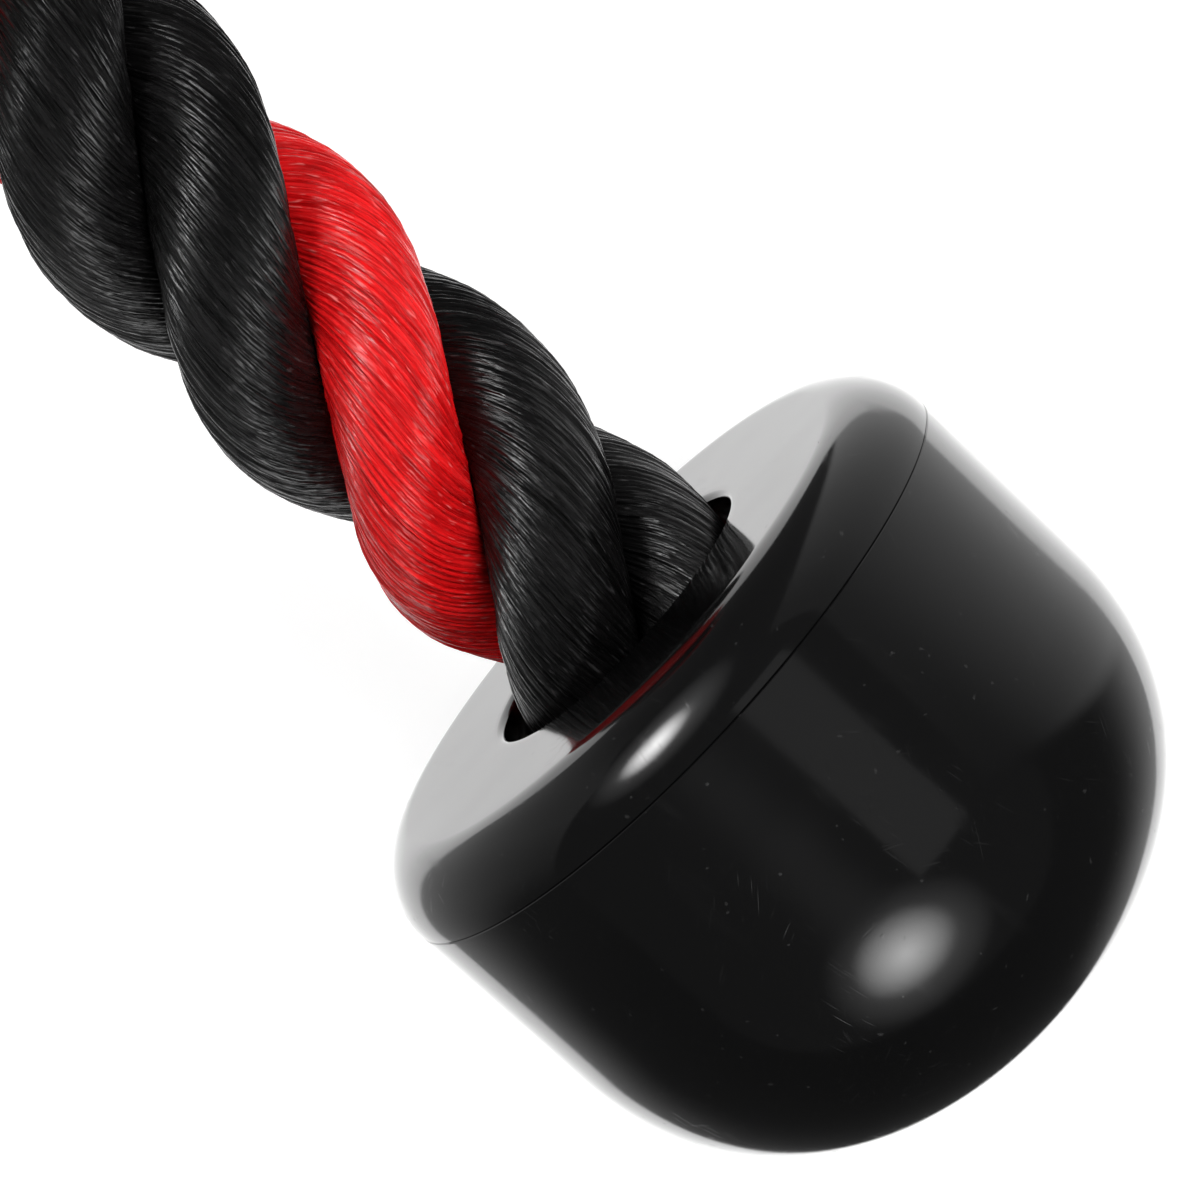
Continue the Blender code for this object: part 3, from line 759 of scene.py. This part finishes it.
# %% Measures of the middle
COLLAR_BORE = 0.0168
COLLAR_RADIUS = 0.0200
COLLAR_HALF = 0.0220
COLLAR_ROUNDING = 0.0010
GROOVE_PLACE = 0.0188
GROOVE_HALF_WIDTH = 0.0008
GROOVE_DEPTH = 0.00035
LINER_BORE = 0.0153
LINER_RADIUS = 0.0165
LIP_START = 0.0223
LIP_END = 0.0238
LIP_RADIUS = 0.0191
RIVET_PLACE = 0.0145
RIVET_SHANK = 0.0025
RIVET_HEAD = 0.0042
RIVET_HEAD_HEIGHT = 0.0020
PIN_Y = 0.1094
PIN_SHANK = 0.0040
PIN_HEAD = 0.0065
PIN_HEAD_HEIGHT = 0.0025
BORE_GAP = 0.0003
HEAD_POWER = 2.5
BOSS_RADIUS = 0.0080
BOSS_HALF = 0.0060
WASHER_THICKNESS = 0.0010
WASHER_CHAMFER = 0.0002
LUG_START = 0.0076
LUG_END = 0.0116
COLLAR_MIDDLE = Vector((0, COLLAR_Y, COLLAR_HEIGHT))
PIN_MIDDLE = Vector((0, PIN_Y, COLLAR_HEIGHT))
ALONG_COLLAR = stand(COLLAR_MIDDLE, (1, 0, 0), (0, 0, -1))


def mirrored(half):
    """A profile's right half and its mirror image, as one closed profile."""
    return [(radius, -height) for radius, height in half[::-1]] + half


def collar_profile():
    """Bore, rounded end, and a shallow turned groove near each end."""
    groove = [
        (COLLAR_RADIUS - GROOVE_DEPTH * math.sin(math.pi * share) ** 2,
         GROOVE_PLACE + GROOVE_HALF_WIDTH * (2 * share - 1))
        for share in np.linspace(0, 1, 9)
    ]
    end = COLLAR_HALF - COLLAR_ROUNDING
    rounded = corner((COLLAR_RADIUS - COLLAR_ROUNDING, end), (COLLAR_ROUNDING, COLLAR_ROUNDING), 0, 90)
    return mirrored(groove + rounded + [(COLLAR_BORE, COLLAR_HALF)])


def liner_profile():
    """Thin in the collar, with a rounded lip over each end of it."""
    middle = (LIP_START + LIP_END) / 2
    lip = corner((LIP_RADIUS - 0.0006, middle), (0.0006, (LIP_END - LIP_START) / 2), -90, 90, 12)
    return mirrored([(LINER_RADIUS, 0.001), (LINER_RADIUS, LIP_START), *lip, (LINER_BORE, LIP_END)])


def headed_profile(shank, head, head_height, half_grip):
    """A pin with a domed head at each end, from pole to pole."""
    dome = corner((0, half_grip), (head, head_height), 0, NEAR_POLE, 16, HEAD_POWER)
    return mirrored([(shank, half_grip), *dome])


def washer_profile(start):
    end = start + WASHER_THICKNESS
    bore, outer = PIN_SHANK + BORE_GAP, BOSS_RADIUS - WASHER_CHAMFER
    return [
        (bore, start), (outer, start), (BOSS_RADIUS, start + WASHER_CHAMFER),
        (BOSS_RADIUS, end - WASHER_CHAMFER), (outer, end), (bore, end),
    ]


# %% Turn them
upright = stand(PIN_MIDDLE, (0, 0, 1), (1, 0, 0))
washer_start = BOSS_HALF + BORE_GAP
pin = headed_profile(PIN_SHANK, PIN_HEAD, PIN_HEAD_HEIGHT, LUG_END + BORE_GAP)
upper_washer = washer_profile(washer_start)
lower_washer = washer_profile(-washer_start - WASHER_THICKNESS)
# Piece, profile, place, steps round, whether it is a ring, finish, slot, and the solid that it stands for
turned_pieces = [
    ("polished_collar", collar_profile(), ALONG_COLLAR, 192, True, CHROME, "chrome", "centre_collar"),
    ("lipped_liner", liner_profile(), ALONG_COLLAR, 192, True, RUBBER, "liner_rubber", "collar_liner"),
    ("upset_pin", pin, upright, 96, False, ZINC, "zinc_steel", "eye_pin"),
    ("upper_washer", upper_washer, upright, 96, True, ZINC, "zinc_steel", "upper_pin_washer"),
    ("lower_washer", lower_washer, upright, 96, True, ZINC, "zinc_steel", "lower_pin_washer"),
]
rivet = headed_profile(RIVET_SHANK, RIVET_HEAD, RIVET_HEAD_HEIGHT, COLLAR_RADIUS + BORE_GAP)
for side_name, side in (("right", 1), ("left", -1)):
    place = stand(COLLAR_MIDDLE + Vector((side * RIVET_PLACE, 0, 0)), (0, 1, 0), (1, 0, 0))
    name, node = f"{side_name}_domed_rivet", f"{side_name}_collar_rivet"
    turned_pieces.append((name, rivet, place, 96, False, ZINC, "zinc_steel", node))
for name, profile, place, steps, ring, finish, slot, node in turned_pieces:
    put_on(lathe(name, profile, place, steps, ring), finish, slot, "collar", node)
print("turned:", [row[0] for row in turned_pieces])

# %% [markdown]
# ## The clevis lugs and their welds
#
# Two plates are welded to the collar and hold the pin between them. A plate is a ring about the pin whose
# outer edge isn't round: for each angle a formula gives how far it is to the plate's edge. The weld is a
# bead that runs round the plate's foot on the collar, with the ripples that a welder leaves.

# %% Lugs
LUG_HALF_WIDTH = 0.0090
LUG_ROUNDING = 0.0007
LUG_ROOT = COLLAR_Y + 0.01655 - PIN_Y
LUG_BORE = PIN_SHANK + BORE_GAP


def lug_reach(angle):
    """From the pin to the plate's edge: half a circle in front, straight sides, a straight foot behind."""
    across, along = np.cos(angle), np.sin(angle)
    side = LUG_HALF_WIDTH / np.maximum(np.abs(across), 1e-6)
    foot = LUG_ROOT / np.minimum(along, -1e-6)
    return np.where(along >= 0, LUG_HALF_WIDTH, np.minimum(side, foot))


def make_lug(name, bottom, top):
    """Rows go once round the plate's section: bore, lower face, rounded edge, upper face."""
    angle = np.linspace(0, math.tau, 240, endpoint=False)
    reach = lug_reach(angle)
    quarter = np.radians(np.linspace(-90, 0, 5))
    inwards = LUG_ROUNDING * (1 - np.cos(quarter))
    lower = bottom + LUG_ROUNDING * (1 + np.sin(quarter))
    section = [(LUG_BORE + 0 * reach, bottom)]
    section += [(reach - inset, height) for inset, height in zip(inwards, lower)]
    section += [(reach - inset, bottom + top - height) for inset, height in zip(inwards[::-1], lower[::-1])]
    section += [(LUG_BORE + 0 * reach, top)]
    grid = np.stack(
        [np.stack((r * np.cos(angle), r * np.sin(angle), np.full_like(angle, h)), -1) for r, h in section]
    )
    return surface(name, grid + np.array(PIN_MIDDLE), ring=True)


# %% Weld beads
BEAD_RADIUS = 0.0011
BEAD_FLATNESS = 0.7
BEAD_CORNER_POWER = 6
RIPPLE = 0.00014
RIPPLE_LENGTH = 0.0014
BEAD_UNEVENNESS = 0.00010


def make_weld(name, bottom, top):
    """A bead along a rounded rectangle on the collar: x to either side, z from bottom to top, and y from
    the collar's roundness, the root of its radius squared less z squared."""
    half_width, half_height = LUG_HALF_WIDTH, (top - bottom) / 2
    middle = (top + bottom) / 2
    angle = np.linspace(0, math.tau, 480, endpoint=False)
    across, along = np.cos(angle), np.sin(angle)
    power = BEAD_CORNER_POWER
    shrink = (np.abs(across) ** power + np.abs(along) ** power) ** (-1 / power)
    x, z = half_width * across * shrink, middle + half_height * along * shrink
    y = np.sqrt(COLLAR_RADIUS**2 - z**2)
    path = np.stack((x, y, z), -1)
    tangent = unit(np.roll(path, -1, axis=0) - np.roll(path, 1, axis=0))
    outwards = unit(np.stack((0 * x, y, z), -1))
    sideways = np.cross(tangent, outwards)
    travelled = np.concatenate(([0], np.cumsum(np.linalg.norm(np.diff(path, axis=0), axis=1))))
    slow = np.sin(3 * angle + 1) + 0.6 * np.sin(7 * angle + 2)
    radius = BEAD_RADIUS + BEAD_UNEVENNESS * slow
    radius += RIPPLE * np.abs(np.sin(math.pi * travelled / RIPPLE_LENGTH + 0.5 * slow))
    turn = np.linspace(0, math.tau, 20, endpoint=False)[:, None, None]
    bulge = np.cos(turn) * BEAD_FLATNESS * outwards + np.sin(turn) * sideways
    grid = path + radius[:, None] * bulge
    return surface(name, grid + np.array(COLLAR_MIDDLE), ring=True)


for name, bottom, top in (("upper", LUG_START, LUG_END), ("lower", -LUG_END, -LUG_START)):
    put_on(make_lug(f"{name}_lug", bottom, top), CHROME, "chrome", "collar")
    put_on(make_weld(f"{name}_lug_weld", bottom, top), CHROME, "chrome", "collar")
print("lugs and welds made")

# %% [markdown]
# ## The eye
#
# The eye is one forging: a ring for the carabiner, a neck, and a boss that turns on the pin. Three plain
# closed surfaces overlap; a voxel remesh takes the skin round all of them, and smoothing that skin
# leaves the soft fillets that a forging has where they meet.

# %% The eye
EYE_REACH = 0.040
EYE_RING = 0.024
EYE_BAR = 0.005
NECK_RADIUS = 0.0055
NECK_FLARE = 0.0016
BOSS_ROUNDING = 0.0008
EYE_VOXEL = 0.00045
EYE_SMOOTHING = 8


def join_meshes(name, parts):
    """One mesh that holds the parts' closed skins."""
    points, faces, start = [], [], 0
    for part in parts:
        points += [tuple(v.co) for v in part.data.vertices]
        faces += [[start + i for i in face.vertices] for face in part.data.polygons]
        start = len(points)
        bpy.data.objects.remove(part)
    mesh = bpy.data.meshes.new(name)
    mesh.from_pydata(points, [], faces)
    return in_scene(name, mesh)


def apply_modifiers(obj):
    """Keeps what the modifiers make as the object's own mesh."""
    graph = bpy.context.evaluated_depsgraph_get()
    mesh = bpy.data.meshes.new_from_object(obj.evaluated_get(graph))
    obj.modifiers.clear()
    obj.data = mesh
    return obj


def make_eye():
    """Ring, boss and neck, joined by the remesh. The neck flares towards both of its ends."""
    ring = corner((EYE_RING, 0), (EYE_BAR, EYE_BAR), 0, 345, 24)
    half_boss = [(BOSS_RADIUS, 0.001), *corner(
        (BOSS_RADIUS - BOSS_ROUNDING, BOSS_HALF - BOSS_ROUNDING), (BOSS_ROUNDING, BOSS_ROUNDING), 0, 90, 5)]
    boss = mirrored([*half_boss, (PIN_SHANK + BORE_GAP, BOSS_HALF)])
    share = np.linspace(0, 1, 20)
    start, end = (PIN_SHANK + BOSS_RADIUS) / 2, EYE_REACH - EYE_RING + 0.002
    flare = NECK_FLARE * (np.clip(2 * share - 1.2, 0, 1) ** 2 + np.clip(0.8 - 2 * share, 0, 1) ** 2)
    neck = list(zip(NECK_RADIUS - 0.0004 + flare, start + (end - start) * share))
    ring_middle = PIN_MIDDLE + Vector((0, EYE_REACH, 0))
    parts = [
        lathe("ring", ring, stand(ring_middle, (0, 0, 1), (1, 0, 0)), 144),
        lathe("boss", boss, upright, 96),
        lathe("neck", neck, stand(PIN_MIDDLE, (0, 1, 0), (1, 0, 0)), 64, ring=False),
    ]
    eye = join_meshes("forged_eye", parts)
    skin = eye.modifiers.new("skin", "REMESH")
    skin.mode, skin.voxel_size = "VOXEL", EYE_VOXEL
    soft = eye.modifiers.new("soft", "SMOOTH")
    soft.factor, soft.iterations = 0.5, EYE_SMOOTHING
    eye = apply_modifiers(eye)
    eye.data.shade_smooth()
    return eye


eye = make_eye()
wear(eye, CHROME)
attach(eye, "eye")
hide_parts("swinging_eye")
print("eye:", len(eye.data.polygons), "faces")

# %% [markdown]
# ## The lamps
#
# The light is soft and plain. Glossy black plastic has hardly a colour of its own: what shows in it is the
# room. So some lamps light the object, and others show only in mirrored rays, as the soft spots on the
# dome and the shoulder. A lamp with a narrow fan of light looks brightest in its middle and fades outwards
# as a softbox does. The panel has the full fan, and shows as a plain rectangle on the barrel.

# %% Lamps
def towards(azimuth, elevation):
    """The direction at two angles: cos a cos e, sin a cos e, sin e."""
    azimuth, elevation = math.radians(azimuth), math.radians(elevation)
    flat = math.cos(elevation)
    return Vector((math.cos(azimuth) * flat, math.sin(azimuth) * flat, math.sin(elevation)))


def lamp(name, azimuth, elevation, away, size, power, fan=180, mirrored=True, lights=False):
    """A round area lamp that faces the right stopper from an azimuth and an elevation. Mirrored rays see it
    if mirrored is true, and it lights dull surfaces if lights is true. The camera never sees it."""
    data = bpy.data.lights.new(name, "AREA")
    data.shape, data.size, data.energy, data.spread = "DISK", size, power, math.radians(fan)
    obj = in_scene(name, data)
    direction = towards(azimuth, elevation)
    obj.location = CAMERA_AIM + direction * away
    obj.rotation_euler = direction.to_track_quat("Z", "Y").to_euler()
    obj.visible_camera = False
    obj.visible_glossy = mirrored
    obj.visible_diffuse = lights
    return obj


PANEL_ROLL = -57
PANEL_SIDE = 0.50
lamp("left_softbox", 158, 45, 1.3, 1.7, 3.4, fan=28, lights=True)
lamp("left_halo", 154, 46, 1.3, 1.7, 0.8, fan=58)
lamp("right_softbox", -62, 50, 1.3, 1.7, 1.6, fan=33)
lamp("right_halo", -60, 47, 1.3, 1.7, 0.66, fan=54)
panel = lamp("fill_panel", 16, 68, 1.2, PANEL_SIDE, 0.20)
panel.data.shape, panel.data.size_y = "RECTANGLE", PANEL_SIDE
panel.rotation_euler.rotate_axis("Z", math.radians(PANEL_ROLL))
lamp("key", 52, 50, 1.6, 1.2, 25, mirrored=False, lights=True)
lamp("right_fill", -62, 45, 1.3, 0.7, 5, mirrored=False, lights=True)

# %% [markdown]
# ## The cards
#
# On a white floor a black stopper would mirror white all over. A photographer stands grey and black cards
# close round such a thing to keep its sides dark. Here each stopper has a strip of card right round it,
# whose glow changes with the direction and the height. It shows in mirrored rays only, so it throws no
# shadow and gives no light.

# %% Cards
CARD_RADIUS = 0.080
CARD_MIDDLE = 0.030
CARD_INWARDS = 0.018
CARD_CLOSEST = -62
CARD_SPREAD = 34
CARD_OUTWARDS = 0.075
CARD_ROWS = 14
CARD_COLUMNS = 347
ROPE_AZIMUTH = 136
ROPE_SPREAD = 24
# Azimuth in degrees, the card's height, the height over which its glow fades, its glow at foot and top
CARD = np.array(
    [
        (-239, 0.100, 0.100, 0.12, 0.08), (-212, 0.100, 0.100, 0.20, 0.12), (-198, 0.098, 0.098, 0.50, 0.28),
        (-183, 0.092, 0.092, 0.65, 0.30), (-163, 0.090, 0.085, 0.65, 0.20), (-148, 0.088, 0.070, 0.60, 0.10),
        (-130, 0.088, 0.045, 0.50, 0.06), (-100, 0.088, 0.045, 0.14, 0.05), (-80, 0.088, 0.045, 0.06, 0.04),
        (-40, 0.088, 0.045, 0.06, 0.04), (-15, 0.088, 0.050, 0.60, 0.05), (21, 0.095, 0.060, 0.80, 0.06),
        (25, 0.130, 0.105, 0.95, 0.10), (50, 0.130, 0.120, 0.95, 0.20), (97, 0.130, 0.120, 0.95, 0.20),
        (99, 0.100, 0.100, 0.12, 0.10), (121, 0.100, 0.100, 0.12, 0.08),
    ]
)


def make_card(name, side):
    """A strip of card round a stopper. Its radius is smaller by a bump about one azimuth, and larger by a
    bump behind the rope, each of them exp(-(how far away / spread) to the 4)."""
    azimuth = np.linspace(CARD[0, 0], CARD[-1, 0], CARD_COLUMNS)
    height, fade, foot, top = (np.interp(azimuth, CARD[:, 0], CARD[:, i]) for i in range(1, 5))
    angle = np.radians(azimuth)
    middle = ROPE_ROUTE[-1, :2] + CARD_MIDDLE * INTO_STOPPER[:2]
    radius = CARD_RADIUS - CARD_INWARDS * np.exp(-(((azimuth - CARD_CLOSEST) / CARD_SPREAD) ** 4))
    for rope_azimuth in (ROPE_AZIMUTH, ROPE_AZIMUTH - 360):
        radius += CARD_OUTWARDS * np.exp(-(((azimuth - rope_azimuth) / ROPE_SPREAD) ** 4))
    x = side * (middle[0] + radius * np.cos(angle))
    y = middle[1] + radius * np.sin(angle)
    z = np.linspace(0, 1, CARD_ROWS)[:, None] * height
    points = np.stack(np.broadcast_arrays(x, y, z), -1).reshape(-1, 3)
    share = np.clip(z / fade, 0, 1)
    share = share * share * (3 - 2 * share)
    glow = (foot + (top - foot) * share).ravel().astype(np.float32)
    faces = grid_faces(CARD_ROWS, CARD_COLUMNS, False)
    faces = faces[faces.max(1) - faces.min(1) <= CARD_COLUMNS + 1]
    obj = link_mesh(name, points, [faces])
    obj.data.attributes.new("glow", "FLOAT", "POINT").data.foreach_set("value", glow)
    black, white = (0, 0, 0, 1), (1, 1, 1, 1)
    finish = Finish(name, {"Base Color": black, "Specular IOR Level": 0.0, "Emission Color": white})
    strength = finish.node("ShaderNodeAttribute", {"attribute_name": "glow"}, {}, output="Fac")
    finish.feed("Emission Strength", strength)
    wear(obj, finish)
    for kind in ("camera", "diffuse", "shadow", "transmission", "volume_scatter"):
        setattr(obj, f"visible_{kind}", False)
    return obj


print("cards:", [make_card("right_card", 1).name, make_card("left_card", -1).name])

# %% [markdown]
# ## The floor and the room
#
# The floor is pale and takes the object's shadow. Its glow makes it white to the camera, a little less so
# near the object, where the shadow falls. Mirrored rays and rays through glass see the glow too.

# %% Floor and surroundings
FLOOR_HALF = 40.0
FLOOR_DROP = 0.0002
NEAR_GLOW = 0.72
MIRRORED_GLOW = 1.25


def make_floor():
    """A pale square that mirrored rays see a little brighter than the camera does."""
    signs = ((-1, -1), (1, -1), (1, 1), (-1, 1))
    corners = [(x * FLOOR_HALF, y * FLOOR_HALF, -FLOOR_DROP) for x, y in signs]
    mesh = bpy.data.meshes.new("floor")
    mesh.from_pydata(corners, [], [(0, 1, 2, 3)])
    finish = Finish("pale_floor", {"Base Color": (0.52, 0.52, 0.52, 1), "Roughness": 0.9,
                                   "Specular IOR Level": 0.1, "Emission Color": (1, 1, 1, 1)})
    path = finish.node("ShaderNodeLightPath").socket.node
    camera, glossy, through = (
        Value(finish, path.outputs[f"Is {kind} Ray"]) for kind in ("Camera", "Glossy", "Transmission")
    )
    place = {0: finish.object_place()}
    away = finish.node("ShaderNodeVectorMath", {"operation": "LENGTH"}, place, output="Value")
    shown = finish.rise(away, 0.35, 1.5, NEAR_GLOW, 1.0)
    finish.feed("Emission Strength", camera * shown + (glossy + through) * MIRRORED_GLOW)
    wear(in_scene("floor", mesh), finish)


def make_world():
    """Nearly white at the horizon, as a studio's paper is, and dim overhead, the same for every ray. The
    floor reaches so far that it fills the picture, and it is what the camera sees as white."""
    world = bpy.data.worlds.new("studio")
    bpy.context.scene.world = world
    world.use_nodes = True
    nodes, links = world.node_tree.nodes, world.node_tree.links
    place, split = nodes.new("ShaderNodeTexCoord"), nodes.new("ShaderNodeSeparateXYZ")
    links.new(place.outputs["Generated"], split.inputs[0])
    level = nodes.new("ShaderNodeMapRange")
    level.interpolation_type = "SMOOTHSTEP"
    for key, value in {"From Min": 0.0, "From Max": 0.12, "To Min": 0.9, "To Max": 0.09}.items():
        level.inputs[key].default_value = value
    links.new(split.outputs["Z"], level.inputs["Value"])
    links.new(level.outputs[0], nodes["Background"].inputs["Strength"])
    nodes["Background"].inputs["Color"].default_value = (1, 1, 1, 1)


make_floor()
make_world()
bpy.context.scene.view_settings.view_transform = "Standard"
print("floor and room made")
